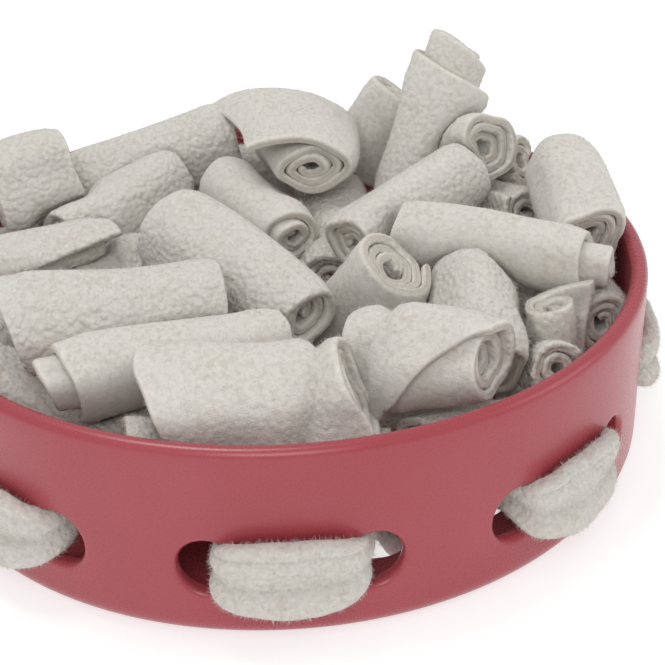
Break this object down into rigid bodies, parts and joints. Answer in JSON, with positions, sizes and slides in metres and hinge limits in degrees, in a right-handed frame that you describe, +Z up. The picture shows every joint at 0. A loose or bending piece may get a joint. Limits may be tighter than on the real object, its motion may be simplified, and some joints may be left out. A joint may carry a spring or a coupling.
{
  "type": "snuffle bowl",
  "caption": "Round low-walled plastic bowl whose wall and floor are threaded with fleece strips, their rolled ends heaped inside to hide dry food.",
  "frame": {"origin": "on the table, under the middle of the bowl", "axes": "+Z up; -Y towards the viewer, through the middle of the front wall band; +X to the right"},
  "size_m": [0.2396, 0.2396, 0.1056],
  "materials": {
    "plastic": "smooth satin moulded plastic, dusty rose",
    "fleece": "soft matt fleece, pale greige with a lighter cut edge"
  },
  "bodies": {
    "root": {"bowl": "plastic", "wall_band_1": "fleece", "wall_band_2": "fleece", "wall_band_3": "fleece", "wall_band_4": "fleece", "wall_band_5": "fleece", "wall_band_6": "fleece", "wall_band_7": "fleece", "wall_band_8": "fleece", "floor_band_1": "fleece", "floor_band_2": "fleece", "floor_band_3": "fleece", "floor_band_4": "fleece", "floor_band_5": "fleece", "floor_band_6": "fleece", "floor_band_7": "fleece", "floor_band_8": "fleece", "floor_band_9": "fleece", "floor_band_10": "fleece", "floor_band_11": "fleece", "roll_01": "fleece", "roll_02": "fleece", "roll_03": "fleece", "roll_04": "fleece", "roll_05": "fleece", "roll_06": "fleece", "roll_07": "fleece", "roll_08": "fleece", "roll_09": "fleece", "roll_10": "fleece", "roll_11": "fleece", "roll_12": "fleece", "roll_13": "fleece", "roll_14": "fleece", "roll_15": "fleece", "roll_16": "fleece", "roll_17": "fleece", "roll_18": "fleece", "roll_19": "fleece", "roll_20": "fleece", "roll_21": "fleece", "roll_22": "fleece", "roll_23": "fleece", "roll_24": "fleece", "roll_25": "fleece", "roll_26": "fleece", "roll_27": "fleece", "roll_28": "fleece", "roll_29": "fleece", "roll_30": "fleece", "roll_31": "fleece", "roll_32": "fleece", "roll_33": "fleece", "roll_34": "fleece", "roll_35": "fleece", "roll_36": "fleece", "roll_37": "fleece", "roll_38": "fleece"}
  },
  "joints": []
}
